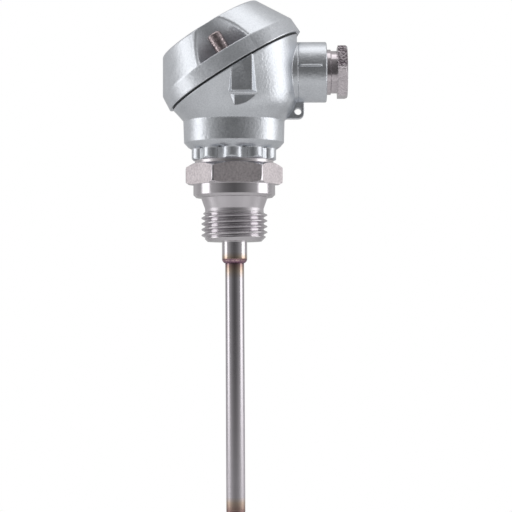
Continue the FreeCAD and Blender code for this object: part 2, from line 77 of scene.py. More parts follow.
camera_data = bpy.data.cameras.new("camera")
camera_data.sensor_width = SENSOR_WIDTH
camera_data.lens = FOCAL_PIXELS / PICTURE_PIXELS * SENSOR_WIDTH
camera_data.clip_start = NEAREST
camera_data.clip_end = FARTHEST
camera = add_object("camera", camera_data)
pitch = math.atan((HORIZON_ROW - PICTURE_PIXELS / 2) / FOCAL_PIXELS)
turn = Matrix.Rotation(math.pi / 2 + pitch, 4, "X") @ Matrix.Rotation(CAMERA_ROLL, 4, "Z")
camera.matrix_world = Matrix.Translation(CAMERA_PLACE) @ turn
scene.camera = camera
print("lens, mm:", round(camera_data.lens, 1), "pitch, degrees:", round(math.degrees(pitch), 2))

# %% [markdown]
# Shaders are networks of small nodes. A few helpers keep them short: `wire` feeds one input, `number`
# places one arithmetic step, `blended` puts two colours together, and `color_ramp` turns a number
# between 0 and 1 into a colour.

# %% Node helpers


def wire(tree, value, socket):
    """Feed an input from another node's output, or give it a plain value."""
    if isinstance(value, bpy.types.NodeSocket):
        tree.links.new(value, socket)
    else:
        socket.default_value = value


def number(tree, operation, *values):
    """One step of arithmetic on outputs or plain numbers."""
    node = tree.nodes.new("ShaderNodeMath")
    node.operation = operation
    for socket, value in zip(node.inputs, values):
        wire(tree, value, socket)
    return node.outputs["Value"]


def sum_of_squares(tree, first, second):
    """The square of a distance from its two parts."""
    return number(tree, "ADD", number(tree, "MULTIPLY", first, first),
                  number(tree, "MULTIPLY", second, second))


def blended(tree, mask, first, second, kind="MIX"):
    """The second colour put on the first, as far as the mask says."""
    node = tree.nodes.new("ShaderNodeMix")
    node.data_type = "RGBA"
    node.blend_type = kind
    wire(tree, mask, node.inputs["Factor"])
    colors = [socket for socket in node.inputs if socket.type == "RGBA"]
    for socket, color in zip(colors, (first, second)):
        wire(tree, (*color, 1.0) if isinstance(color, tuple) else color, socket)
    return next(socket for socket in node.outputs if socket.type == "RGBA")


def color_ramp(tree, value, stops):
    """A ramp through (position, colour) pairs, lowest position first."""
    node = tree.nodes.new("ShaderNodeValToRGB")
    elements = node.color_ramp.elements
    for index, (position, color) in enumerate(stops):
        stop = elements[index] if index < 2 else elements.new(position)
        stop.position = position
        stop.color = (*color, 1.0)
    wire(tree, value, node.inputs["Fac"])
    return node.outputs["Color"]


print("node helpers:", [helper.__name__ for helper in (wire, number, sum_of_squares, blended, color_ramp)])

# %% [markdown]
# Metal shows its surroundings, so the studio matters as much as the steel. The room's light is drawn by
# direction: dim on the camera's side and overhead, lighter behind the object. The dim side gives every
# cylinder its dark middle. The room is written as two ramps, one round the horizon and one for height,
# because a photographer thinks of it that way: what stands round the table, and what is above it. The
# camera itself sees plain white.

# %% World
ROUND_LEVELS = [(0.00, 0.105), (0.15, 0.18), (0.32, 0.42), (0.60, 0.42), (0.78, 0.56), (1.00, 0.42)]
UP_LEVELS = [(0.00, 0.64), (0.30, 0.56), (0.37, 0.42), (0.41, 0.05), (0.48, 0.0), (0.62, 0.02),
             (0.80, 0.14), (0.92, 0.38), (1.00, 0.50)]
ROOM_STRENGTH = 1.0


def grey_ramp(tree, value, levels):
    """A ramp of greys."""
    return color_ramp(tree, value, [(position, (level, level, level)) for position, level in levels])


def build_world():
    """White for the camera; the room for everything else."""
    world = bpy.data.worlds.new("studio")
    scene.world = world
    world.use_nodes = True
    tree = world.node_tree
    tree.nodes.clear()
    direction = tree.nodes.new("ShaderNodeTexCoord")
    split = tree.nodes.new("ShaderNodeSeparateXYZ")
    tree.links.new(direction.outputs["Generated"], split.inputs["Vector"])
    x, y, z = (split.outputs[axis] for axis in "XYZ")
    from_front = number(tree, "ARCTAN2", number(tree, "ABSOLUTE", x), number(tree, "MULTIPLY", y, -1.0))
    height = number(tree, "ARCTAN2", z, number(tree, "SQRT", sum_of_squares(tree, x, y)))
    round_place = number(tree, "DIVIDE", from_front, math.pi)
    up_place = number(tree, "ADD", number(tree, "DIVIDE", height, math.pi), 0.5)
    light = blended(tree, 1.0, grey_ramp(tree, round_place, ROUND_LEVELS),
                    grey_ramp(tree, up_place, UP_LEVELS), "ADD")
    room = tree.nodes.new("ShaderNodeBackground")
    room.inputs["Strength"].default_value = ROOM_STRENGTH
    tree.links.new(light, room.inputs["Color"])
    white = tree.nodes.new("ShaderNodeBackground")
    white.inputs["Color"].default_value = (1.0, 1.0, 1.0, 1.0)
    ray = tree.nodes.new("ShaderNodeLightPath")
    mix = tree.nodes.new("ShaderNodeMixShader")
    tree.links.new(ray.outputs["Is Camera Ray"], mix.inputs["Fac"])
    tree.links.new(room.outputs["Background"], mix.inputs[1])
    tree.links.new(white.outputs["Background"], mix.inputs[2])
    output = tree.nodes.new("ShaderNodeOutputWorld")
    tree.links.new(mix.outputs["Shader"], output.inputs["Surface"])


build_world()
scene.view_settings.view_transform = "Standard"
print("room levels, front to back:", [level for position, level in ROUND_LEVELS])

# %% [markdown]
# Three soft boxes stand at the left, at the right and overhead: lamps behind white cloth. Each one
# shows as a white band on the turned parts, and its place and width decide where the band lies. So the
# side boxes are given as angles round the object, and each box's brightness as the radiance of its
# cloth. A lamp's power then follows from its area.

# %% Soft boxes
BOX_DISTANCE = 0.80
SIDE_RADIANCE = 1.45
TOP_RADIANCE = 0.70
TOP_BOX_PLACE = (0.0, -0.04, 0.90)


def area_lamp(name, width, height, radiance):
    """A rectangular lamp that shines along its own -Z."""
    data = bpy.data.lights.new(name, "AREA")
    data.shape = "RECTANGLE"
    data.size = width
    data.size_y = height
    data.energy = radiance * math.pi * width * height
    return add_object(name, data)


def side_box(name, bearing, spread, low, high):
    """An upright soft box; bearing is in degrees from the camera's side, positive to the right."""
    angle = math.radians(bearing)
    width = 2 * BOX_DISTANCE * math.tan(math.radians(spread / 2))
    lamp = area_lamp(name, width, high - low, SIDE_RADIANCE)
    place = Vector((math.sin(angle) * BOX_DISTANCE, -math.cos(angle) * BOX_DISTANCE, (low + high) / 2))
    facing = Vector((-place.x, -place.y, 0.0)).to_track_quat("-Z", "Y")
    lamp.matrix_world = Matrix.Translation(place) @ facing.to_matrix().to_4x4()
    return lamp


boxes = [side_box("left_soft_box", bearing=-87.0, spread=29.0, low=-0.32, high=0.60),
         side_box("right_soft_box", bearing=89.5, spread=37.0, low=-0.26, high=0.60),
         area_lamp("top_soft_box", width=1.30, height=0.56, radiance=TOP_RADIANCE)]
boxes[-1].location = TOP_BOX_PLACE
print("soft box powers, W:", [round(box.data.energy, 2) for box in boxes])

# %% [markdown]
# The floor is a plain pale sheet well below the tip, because the probe hangs in the light. It is lit
# like a table, so it keeps a shadow, and what faces down on the object reflects it. For the camera it
# adds its own white and melts into the background. It ends part of the way to the camera, so that it
# never hides the view.

# %% Floor
FLOOR_Z = -0.60
FLOOR_HALF = 1.6
FLOOR_FRONT = -0.45
PAPER_COLOR = (0.80, 0.80, 0.80, 1.0)


def build_floor():
    """One large pale sheet."""
    mesh = bpy.data.meshes.new("floor")
    corners = [(-FLOOR_HALF, FLOOR_FRONT, FLOOR_Z), (FLOOR_HALF, FLOOR_FRONT, FLOOR_Z),
               (FLOOR_HALF, FLOOR_HALF, FLOOR_Z), (-FLOOR_HALF, FLOOR_HALF, FLOOR_Z)]
    mesh.from_pydata(corners, [], [(0, 1, 2, 3)])
    paper = bpy.data.materials.new("paper_floor")
    paper.use_nodes = True
    tree = paper.node_tree
    tree.nodes.clear()
    matte = tree.nodes.new("ShaderNodeBsdfDiffuse")
    matte.inputs["Color"].default_value = PAPER_COLOR
    glow = tree.nodes.new("ShaderNodeEmission")
    ray = tree.nodes.new("ShaderNodeLightPath")
    tree.links.new(ray.outputs["Is Camera Ray"], glow.inputs["Strength"])
    both = tree.nodes.new("ShaderNodeAddShader")
    tree.links.new(matte.outputs["BSDF"], both.inputs[0])
    tree.links.new(glow.outputs["Emission"], both.inputs[1])
    output = tree.nodes.new("ShaderNodeOutputMaterial")
    tree.links.new(both.outputs["Shader"], output.inputs["Surface"])
    mesh.materials.append(paper)
    return add_object("floor", mesh)


build_floor()

# %% [markdown]
# Materials share a few effects, and each effect is a node group: a box with named inputs and outputs.
# The groups are fed by places on the object itself, never by what the camera sees, so a finish stays
# where it is when a part moves. These helpers start a group, measure a place along an axis, and give
# smooth random values, either in space or along a line.

# %% Group helpers


def new_group(name, inputs, outputs):
    """An empty shader node group with named sockets."""
    group = bpy.data.node_groups.new(name, "ShaderNodeTree")
    for label, kind, value in inputs:
        socket = group.interface.new_socket(name=label, in_out="INPUT", socket_type=kind)
        socket.default_value = value
    for label, kind in outputs:
        group.interface.new_socket(name=label, in_out="OUTPUT", socket_type=kind)
    return group, group.nodes.new("NodeGroupInput"), group.nodes.new("NodeGroupOutput")


def along(tree, axis):
    """How far a point lies along an axis, in metres from the object's origin."""
    place = tree.nodes.new("ShaderNodeTexCoord")
    dot = tree.nodes.new("ShaderNodeVectorMath")
    dot.operation = "DOT_PRODUCT"
    tree.links.new(place.outputs["Object"], dot.inputs[0])
    wire(tree, axis, dot.inputs[1])
    return dot.outputs["Value"]


def noise(tree, place, scale, detail, dimensions="3D"):
    """Smooth random values at a place in space, or along a line with one dimension."""
    node = tree.nodes.new("ShaderNodeTexNoise")
    node.noise_dimensions = dimensions
    wire(tree, place, node.inputs["W" if dimensions == "1D" else "Vector"])
    wire(tree, scale, node.inputs["Scale"])
    wire(tree, detail, node.inputs["Detail"])
    return node.outputs["Fac"]


def weighted(tree, first, second, share):
    """A share of the first value and the rest of the second."""
    return number(tree, "ADD", number(tree, "MULTIPLY", first, share),
                  number(tree, "MULTIPLY", second, 1.0 - share))


print("group helpers:", [helper.__name__ for helper in (new_group, along, noise, weighted)])

# %% [markdown]
# `grain` is a fine irregular speckle. Paint flakes, cast skin and tumbled plating all have one. A real
# speckle is uneven over larger distances too, so a fine noise is mixed with a broad one.

# %% Grain
GRAIN_FINE_SHARE = 0.7
GRAIN_BROAD_CELLS = 0.12
BROAD_DETAIL = 2.0


def grain_group():
    """Speckle from two sizes of noise; Scale is in cells per metre."""
    group, entry, leave = new_group(
        "grain",
        [("Scale", "NodeSocketFloat", 2500.0), ("Contrast", "NodeSocketFloat", 1.0),
         ("Detail", "NodeSocketFloat", 3.0)],
        [("Mask", "NodeSocketFloat"), ("Height", "NodeSocketFloat")],
    )
    scale = entry.outputs["Scale"]
    place = group.nodes.new("ShaderNodeTexCoord").outputs["Object"]
    fine = noise(group, place, scale, entry.outputs["Detail"])
    broad = noise(group, place, number(group, "MULTIPLY", scale, GRAIN_BROAD_CELLS), BROAD_DETAIL)
    centred = number(group, "SUBTRACT", weighted(group, fine, broad, GRAIN_FINE_SHARE), 0.5)
    spread = number(group, "MULTIPLY", centred, entry.outputs["Contrast"])
    group.links.new(number(group, "ADD", spread, 0.5), leave.inputs["Mask"])
    group.links.new(fine, leave.inputs["Height"])
    return group


GRAIN = grain_group()
print("grain's inputs:", [item.name for item in GRAIN.interface.items_tree if item.in_out == "INPUT"])

# %% [markdown]
# `edge` softens sharp edges and marks them. No made edge is perfectly sharp: it has a tiny round that
# catches light and gets rubbed. The group compares the softened normal with the face's own. Where the
# two part, there is an edge.

# %% Rounded edges
BEVEL_SAMPLES = 8


def edge_group():
    """How far the rounded normal departs from the face's own: 0 on flats, 1 on edges."""
    group, entry, leave = new_group(
        "edge",
        [("Radius", "NodeSocketFloat", 0.0004), ("Gain", "NodeSocketFloat", 6.0)],
        [("Mask", "NodeSocketFloat"), ("Normal", "NodeSocketVector")],
    )
    bevel = group.nodes.new("ShaderNodeBevel")
    bevel.samples = BEVEL_SAMPLES
    group.links.new(entry.outputs["Radius"], bevel.inputs["Radius"])
    face = group.nodes.new("ShaderNodeNewGeometry")
    dot = group.nodes.new("ShaderNodeVectorMath")
    dot.operation = "DOT_PRODUCT"
    group.links.new(bevel.outputs["Normal"], dot.inputs[0])
    group.links.new(face.outputs["Normal"], dot.inputs[1])
    departure = number(group, "SUBTRACT", 1.0, dot.outputs["Value"])
    mask = group.nodes.new("ShaderNodeClamp")
    group.links.new(number(group, "MULTIPLY", departure, entry.outputs["Gain"]), mask.inputs["Value"])
    group.links.new(mask.outputs["Result"], leave.inputs["Mask"])
    group.links.new(bevel.outputs["Normal"], leave.inputs["Normal"])
    return group


EDGE = edge_group()
print("edge's inputs:", [item.name for item in EDGE.interface.items_tree if item.in_out == "INPUT"])

# %% [markdown]
# `turning` is the set of fine rings that a lathe tool leaves round an axis. The tool moves slowly along
# the turning bar, so the surface changes along the axis only. One-dimensional noise does just that.

# %% Turning rings
RINGS_FINE_SHARE = 0.6
RINGS_DETAIL = 4.0
RINGS_BROAD_CELLS = 0.08


def turning_group():
    """Fine rings round an axis: noise that changes along the axis only."""
    group, entry, leave = new_group(
        "turning",
        [("Axis", "NodeSocketVector", (0.0, 0.0, 1.0)), ("Rings per metre", "NodeSocketFloat", 4000.0)],
        [("Mask", "NodeSocketFloat"), ("Height", "NodeSocketFloat")],
    )
    place = number(group, "MULTIPLY", along(group, entry.outputs["Axis"]), entry.outputs["Rings per metre"])
    fine = noise(group, place, 1.0, RINGS_DETAIL, "1D")
    broad = noise(group, place, RINGS_BROAD_CELLS, BROAD_DETAIL, "1D")
    group.links.new(weighted(group, fine, broad, RINGS_FINE_SHARE), leave.inputs["Mask"])
    group.links.new(fine, leave.inputs["Height"])
    return group


TURNING = turning_group()
print("turning's inputs:", [item.name for item in TURNING.interface.items_tree if item.in_out == "INPUT"])

# %% [markdown]
# Every material follows one pattern. `new_material` sets the plain values, `effect` places a shared
# group, `ranged` and `bump` turn its mask and height into roughness and relief, and the last helper
# lightens the edges: partly wear where hands and tools touch, partly a painted highlight on their rounds.

# %% Material helpers


def new_material(name, color, metallic, roughness):
    """A material with its shader's plain values set."""
    material = bpy.data.materials.new(name)
    material.use_nodes = True
    shader = material.node_tree.nodes["Principled BSDF"]
    shader.inputs["Base Color"].default_value = (*color, 1.0)
    shader.inputs["Metallic"].default_value = metallic
    shader.inputs["Roughness"].default_value = roughness
    return material, material.node_tree, shader


def effect(tree, group, **values):
    """Place a shared effect; values are its inputs, with _ for a space."""
    node = tree.nodes.new("ShaderNodeGroup")
    node.node_tree = group
    for label, value in values.items():
        node.inputs[label.replace("_", " ")].default_value = value
    return node


def ranged(tree, value, low, high, low_out, high_out):
    """Rescale a value, held at both ends."""
    node = tree.nodes.new("ShaderNodeMapRange")
    tree.links.new(value, node.inputs["Value"])
    node.inputs["From Min"].default_value = low
    node.inputs["From Max"].default_value = high
    node.inputs["To Min"].default_value = low_out
    node.inputs["To Max"].default_value = high_out
    return node.outputs["Result"]


def bump(tree, height, strength, distance, normal=None):
    """A bump's normal from a height, on top of another normal if one is given."""
    node = tree.nodes.new("ShaderNodeBump")
    node.inputs["Strength"].default_value = strength
    node.inputs["Distance"].default_value = distance
    tree.links.new(height, node.inputs["Height"])
    if normal is not None:
        tree.links.new(normal, node.inputs["Normal"])
    return node.outputs["Normal"]


# Lighter edges: partly wear, partly a painted highlight where the small rounds would catch light.
def edge_wear_and_highlight(tree, edge, share, body, bright):
    """A body's colour, lightened on its edges as far as the share says: wear and a painted highlight."""
    return blended(tree, number(tree, "MULTIPLY", edge.outputs["Mask"], share), body, bright)


print("material helpers:", [helper.__name__ for helper in (new_material, effect, ranged, bump, edge_wear_and_highlight)])

# %% [markdown]
# The head is die-cast aluminium under silver paint. The paint holds fine flakes, so its brightness
# changes from grain to grain, and it dries with a slight orange-peel wave, which is a broader bump.
# Edges are rubbed smoother, and they are lighter: partly worn paint, partly a painted highlight on their
# small rounds. Nothing rubs the paint in the lid's two scooped recesses, so it stays duller there. The
# recesses are cut square to the sloping lid, and so the mask for them is measured along the slope and
# across it.

# %% Cast and painted head
LID_TILT = math.radians(31.0)
LID_AXIS = (-math.sin(LID_TILT), 0.0, math.cos(LID_TILT))
LID_SLOPE = (math.cos(LID_TILT), 0.0, math.sin(LID_TILT))
ACROSS = (0.0, 1.0, 0.0)
SCOOP_UPHILL = 20.30 * MM
SCOOP_ASIDE = 25.30 * MM
SCOOP_RADIUS = 9.24 * MM
SCOOP_DULLNESS = 0.16
FLAKE_DARK, FLAKE_LIGHT = (0.56, 0.585, 0.62), (0.78, 0.80, 0.84)
# Colour of the paint's edges: worn paint, and a painted highlight on their rounds.
PAINT_WORN_AND_HIGHLIT = (0.86, 0.87, 0.89)
PAINT_SMOOTHED = 0.45


def in_scoop(tree):
    """1 inside the two round recesses over the lid's screws."""
    uphill = number(tree, "SUBTRACT", along(tree, LID_SLOPE), SCOOP_UPHILL)
    aside = number(tree, "SUBTRACT", number(tree, "ABSOLUTE", along(tree, ACROSS)), SCOOP_ASIDE)
    return number(tree, "LESS_THAN", sum_of_squares(tree, uphill, aside), SCOOP_RADIUS ** 2)


def casting_material(name, scooped):
    """Silver paint over a casting; scooped is for the lid, whose recesses are duller."""
    material, tree, shader = new_material(name, (0.66, 0.68, 0.72), 1.0, 0.40)
    flakes = effect(tree, GRAIN, Scale=2300.0, Contrast=1.9, Detail=2.0)
    edge = effect(tree, EDGE, Radius=0.0005, Gain=5.0)
    body = blended(tree, flakes.outputs["Mask"], FLAKE_DARK, FLAKE_LIGHT)
    # Edges lightened: partly worn paint, partly a painted highlight.
    tree.links.new(edge_wear_and_highlight(tree, edge, 0.4, body, PAINT_WORN_AND_HIGHLIT), shader.inputs["Base Color"])
    smoothed = number(tree, "MULTIPLY", edge.outputs["Mask"], PAINT_SMOOTHED)
    flaky = ranged(tree, flakes.outputs["Mask"], low=0.2, high=0.8, low_out=0.32, high_out=0.40)
    finish = number(tree, "MULTIPLY", flaky, number(tree, "SUBTRACT", 1.0, smoothed))
    if scooped:
        finish = number(tree, "ADD", finish, number(tree, "MULTIPLY", in_scoop(tree), SCOOP_DULLNESS))
    tree.links.new(finish, shader.inputs["Roughness"])
    peel = effect(tree, GRAIN, Scale=1300.0, Contrast=1.0, Detail=1.5)
    wave = bump(tree, peel.outputs["Height"], strength=0.38, distance=0.2 * MM, normal=edge.outputs["Normal"])
    specks = bump(tree, flakes.outputs["Height"], strength=0.10, distance=0.05 * MM, normal=wave)
    tree.links.new(specks, shader.inputs["Normal"])
    return material


SILVER_CASTING = casting_material("silver_casting", scooped=False)
SILVER_LID = casting_material("silver_lid", scooped=True)
print("painted finishes:", SILVER_CASTING.name, SILVER_LID.name)

# %% [markdown]
# The fitting and the tube are stainless steel from the lathe. The rings change colour, roughness and
# relief together, as a tool mark does. The undercut below the flange is cut with a narrow tool in one
# plunge, which leaves it duller than the rest, so it has its own finish.

# %% Turned steel
STEEL_COLOR = (0.67, 0.64, 0.67)
# Colour of the steel's edges: wear, and a painted highlight on their rounds.
STEEL_WORN_AND_HIGHLIT = (0.84, 0.82, 0.81)
RING_DARKER = 0.86


def steel_material(name, color, roughness, rings, ring_bump):
    """Turned stainless steel about the Z axis."""
    material, tree, shader = new_material(name, color, 1.0, roughness)
    turning = effect(tree, TURNING, Rings_per_metre=rings)
    edge = effect(tree, EDGE, Radius=0.0003, Gain=6.0)
    body = blended(tree, turning.outputs["Mask"], tuple(RING_DARKER * v for v in color), color)
    # Edges lightened: partly wear, partly a painted highlight.
    worn_and_highlit = edge_wear_and_highlight(tree, edge, 0.5, body, STEEL_WORN_AND_HIGHLIT)
    tree.links.new(worn_and_highlit, shader.inputs["Base Color"])
    tree.links.new(ranged(tree, turning.outputs["Mask"], low=0.3, high=0.7, low_out=roughness * 0.8,
                          high_out=roughness * 1.25), shader.inputs["Roughness"])
    tree.links.new(bump(tree, turning.outputs["Height"], strength=ring_bump, distance=0.04 * MM,
                        normal=edge.outputs["Normal"]), shader.inputs["Normal"])
    return material, tree, shader, worn_and_highlit


RELIEF_STEEL = steel_material("relief_steel", STEEL_COLOR, roughness=0.36, rings=3600.0, ring_bump=0.25)[0]
SEAL_STEEL = steel_material("seal_steel", (0.72, 0.69, 0.71), roughness=0.28, rings=3000.0, ring_bump=0.2)[0]
print("turned finishes:", RELIEF_STEEL.name, SEAL_STEEL.name)

# %% [markdown]
# Steel that has been hot keeps a film of oxide whose colour tells how hot it was: straw farthest from
# the weld, then brown, then purple. Each heated part gets a list of heights and tints, and its steel is
# multiplied by the tint at that height. The tube's closed tip was welded too, so it is brown as well.
# The tube is polished near the fitting and duller towards its tip.

# %% Heat colours
WELD_LOW, WELD_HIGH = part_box("tube_weld")
TIP_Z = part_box("tip_plug")[0].z
CLEAN = (1.0, 1.0, 1.0)
STRAW = (0.95, 0.80, 0.62)
BROWN = (0.66, 0.48, 0.40)
PURPLE = (0.46, 0.32, 0.36)
FITTING_HEAT = [(WELD_HIGH.z, BROWN), (WELD_HIGH.z + 0.6 * MM, STRAW), (WELD_HIGH.z + 2.2 * MM, CLEAN)]
TUBE_HEAT = [(TIP_Z, PURPLE), (TIP_Z + 1.2 * MM, BROWN), (TIP_Z + 3.4 * MM, STRAW),
             (TIP_Z + 5.2 * MM, CLEAN), (WELD_LOW.z - 5.0 * MM, CLEAN), (WELD_LOW.z - 2.4 * MM, STRAW),
             (WELD_LOW.z - 0.8 * MM, BROWN), (WELD_LOW.z, PURPLE)]
TUBE_SMOOTH, TUBE_DULL = 0.13, 0.46
TUBE_FADE = 10.0 * MM
Z_AXIS = (0.0, 0.0, 1.0)


def heat_ramp(tree, stops):
    """Colours by height, from (height in metres, colour) pairs, lowest first."""
    low, high = stops[0][0], stops[-1][0]
    scaled = [((height - low) / (high - low), color) for height, color in stops]
    return color_ramp(tree, ranged(tree, along(tree, Z_AXIS), low, high, 0.0, 1.0), scaled)


def heated_steel_material(name, color, roughness, rings, ring_bump, stops):
    """Turned steel whose colour changes with height where it was hot."""
    material, tree, shader, plain = steel_material(name, color, roughness, rings, ring_bump)
    tree.links.new(blended(tree, 1.0, plain, heat_ramp(tree, stops), "MULTIPLY"),
                   shader.inputs["Base Color"])
    return material, tree, shader


def tube_material():
    """The tube's steel, whose roughness grows from the fitting down to the tip."""
    material, tree, shader = heated_steel_material("tube_steel", (0.60, 0.57, 0.605), TUBE_SMOOTH,
                                                   rings=2600.0, ring_bump=0.2, stops=TUBE_HEAT)
    dullness = ranged(tree, along(tree, Z_AXIS), low=TIP_Z + TUBE_FADE, high=WELD_LOW.z - TUBE_FADE,
                      low_out=TUBE_DULL, high_out=TUBE_SMOOTH)
    tree.links.new(dullness, shader.inputs["Roughness"])
    return material


TURNED_STEEL = heated_steel_material("turned_steel", STEEL_COLOR, roughness=0.17, rings=3600.0,
                                     ring_bump=0.25, stops=FITTING_HEAT)[0]
TUBE_STEEL = tube_material()
print("heights of the tube's tints, mm:", [round(height / MM, 1) for height, color in TUBE_HEAT])

# %% [markdown]
# A cutter mills the hexagon's flats, or a die draws them. Both leave marks that run up and down, and
# such marks spread light sideways. An anisotropic shader does the same when its tangent runs round the
# axis. A coarse speckle stands for the marks' uneven depth.

# %% Milled flats
SIDEWAYS = 0.85
MARK_DARK, MARK_LIGHT = (0.58, 0.53, 0.55), (0.86, 0.80, 0.82)


def milled_material():
    """The hexagon's flats: light spreads sideways, and the marks are uneven."""
    material, tree, shader = new_material("milled_steel", (0.76, 0.72, 0.73), 1.0, 0.44)
    shader.inputs["Anisotropic"].default_value = SIDEWAYS
    round_axis = tree.nodes.new("ShaderNodeTangent")
    round_axis.direction_type = "RADIAL"
    round_axis.axis = "Z"
    tree.links.new(round_axis.outputs["Tangent"], shader.inputs["Tangent"])
    marks = effect(tree, GRAIN, Scale=1500.0, Contrast=2.8, Detail=1.5)
    tree.links.new(blended(tree, marks.outputs["Mask"], MARK_DARK, MARK_LIGHT), shader.inputs["Base Color"])
    tree.links.new(bump(tree, marks.outputs["Height"], strength=0.25, distance=0.1 * MM),
                   shader.inputs["Normal"])
    return material


MILLED_STEEL = milled_material()
print("milled finish:", MILLED_STEEL.name)

# %% [markdown]
# The weld bead was the hottest place, and its colour changes with height. It is nearly black where it
# meets the steel above and below, partly oxide and partly painted shade in those two creases, with a
# bright pinkish band between that is partly heat colour and partly a painted highlight, and dark spots of
# oxide all over it.

# %% Weld's finish
WELD_STEP = (WELD_HIGH.z - WELD_LOW.z) / 6
# Heat colours by height, with painted shade at both creases and a painted highlight in the pink band.
WELD_HEAT_SHADE_AND_HIGHLIGHT = [(WELD_LOW.z, (0.16, 0.09, 0.15)), (WELD_LOW.z + 2 * WELD_STEP, (0.42, 0.23, 0.30)),
             (WELD_LOW.z + 4 * WELD_STEP, (0.92, 0.66, 0.62)),
             (WELD_HIGH.z - WELD_STEP, (0.60, 0.36, 0.34)), (WELD_HIGH.z, (0.16, 0.07, 0.07))]
OXIDE = (0.22, 0.13, 0.19)


def weld_material():
    """Bead of the weld: heat colours, with painted shade at its edges and a painted highlight between."""
    material, tree, shader = new_material("weld_bead", (0.44, 0.26, 0.25), 1.0, 0.18)
    spots = effect(tree, GRAIN, Scale=900.0, Contrast=3.0, Detail=1.0)
    tree.links.new(blended(tree, spots.outputs["Mask"], OXIDE, heat_ramp(tree, WELD_HEAT_SHADE_AND_HIGHLIGHT)),
                   shader.inputs["Base Color"])
    tree.links.new(bump(tree, spots.outputs["Height"], strength=0.3, distance=0.2 * MM),
                   shader.inputs["Normal"])
    return material


WELD_BEAD = weld_material()
print("weld's bands, mm:", [round(height / MM, 2) for height, color in WELD_HEAT_SHADE_AND_HIGHLIGHT])

# %% [markdown]
# The gland's pressure screw is nickel-plated brass. Its plating is bright on the shank, and on the nut
# it is pitted, and its upper flats carry painted shade, mottled by the plating's clouds. The lid's screws
# are plated too, but handled more, so they are duller and more deeply pitted. The small screws inside
# are zinc plated. One recipe serves all three; two limits say where pits and the painted shade begin.

# %% Plated parts
# Colour of the plating's edges: wear, and a painted highlight on their rounds.
PLATING_WORN_AND_HIGHLIT = (0.88, 0.85, 0.82)
# Colour of the painted shade on the nut's upper flats, and how far up it fades in.
UPPER_FLAT_SHADE = (0.15, 0.12, 0.14)
UPPER_SHADE_FADE = 0.6 * MM
CLOUD_DARKER = 0.78
EVERYWHERE, NOWHERE = -1.0, 1.0


def plated_material(name, color, roughness, axis, rings, pit_depth, pits_from=EVERYWHERE,
                    shade_above=NOWHERE):
    """Plating over a turned part; pits start at a distance along the axis, painted shade at a height."""
    material, tree, shader = new_material(name, color, 1.0, roughness)
    turning = effect(tree, TURNING, Axis=axis, Rings_per_metre=rings)
    edge = effect(tree, EDGE, Radius=0.00025, Gain=6.0)
    clouds = effect(tree, GRAIN, Scale=1350.0, Contrast=3.0, Detail=1.0)
    pitted_part = number(tree, "GREATER_THAN", along(tree, axis), pits_from)
    # Painted shade: 0 below the height limit, 1 above it.
    on_upper_flats = ranged(tree, along(tree, Z_AXIS), shade_above, shade_above + UPPER_SHADE_FADE, 0.0, 1.0)
    spotty = ranged(tree, clouds.outputs["Mask"], low=0.25, high=0.75, low_out=0.95, high_out=0.35)
    painted_shade = number(tree, "MULTIPLY", number(tree, "MULTIPLY", spotty, on_upper_flats), pitted_part)
    body = blended(tree, clouds.outputs["Mask"], tuple(CLOUD_DARKER * v for v in color), color)
    # The painted shade, mottled, goes onto the nut's upper flats.
    body = blended(tree, painted_shade, body, UPPER_FLAT_SHADE)
    # Edges lightened: partly wear, partly a painted highlight.
    tree.links.new(edge_wear_and_highlight(tree, edge, 0.4, body, PLATING_WORN_AND_HIGHLIT), shader.inputs["Base Color"])
    tree.links.new(ranged(tree, clouds.outputs["Mask"], low=0.3, high=0.7, low_out=roughness * 0.7,
                          high_out=roughness * 1.5), shader.inputs["Roughness"])
    pits = number(tree, "MULTIPLY", clouds.outputs["Height"], pitted_part)
    pitted = bump(tree, pits, strength=1.0, distance=pit_depth, normal=edge.outputs["Normal"])
    tree.links.new(bump(tree, turning.outputs["Height"], strength=0.15, distance=0.03 * MM, normal=pitted),
                   shader.inputs["Normal"])
    return material


NICKEL = plated_material("nickel_plate", (0.66, 0.61, 0.64), roughness=0.10, axis=(1.0, 0.0, 0.0),
                         rings=5000.0, pit_depth=0.07 * MM, pits_from=32.6 * MM, shade_above=40.6 * MM)
SCREW_PLATE = plated_material("screw_plate", (0.50, 0.42, 0.43), roughness=0.16, axis=LID_AXIS,
                              rings=7000.0, pit_depth=0.16 * MM)
ZINC = plated_material("zinc_screws", (0.60, 0.60, 0.60), roughness=0.30, axis=Z_AXIS, rings=7000.0,
                       pit_depth=0.04 * MM)
print("plated finishes:", NICKEL.name, SCREW_PLATE.name, ZINC.name)

# %% [markdown]
# The pieces inside show only when the lid is off: brass clamps and rings, black rubber, pressed ceramic
# and the leads' coloured sleeves. Of the rubber, the gasket also shows as the dark seam under the lid.
# Each is a two-tone grain with a slight relief, which keeps it from looking like flat colour.

# %% Pieces inside


def grained_material(name, dark, light, metallic, roughness, scale=2500.0, relief=0.1):
    """A two-tone grained finish."""
    material, tree, shader = new_material(name, light, metallic, roughness)
    grain = effect(tree, GRAIN, Scale=scale, Contrast=1.4)
    tree.links.new(blended(tree, grain.outputs["Mask"], dark, light), shader.inputs["Base Color"])
    tree.links.new(ranged(tree, grain.outputs["Mask"], low=0.2, high=0.8, low_out=roughness * 0.85,
                          high_out=roughness * 1.15), shader.inputs["Roughness"])
    tree.links.new(bump(tree, grain.outputs["Height"], strength=relief, distance=0.1 * MM),
                   shader.inputs["Normal"])
    return material


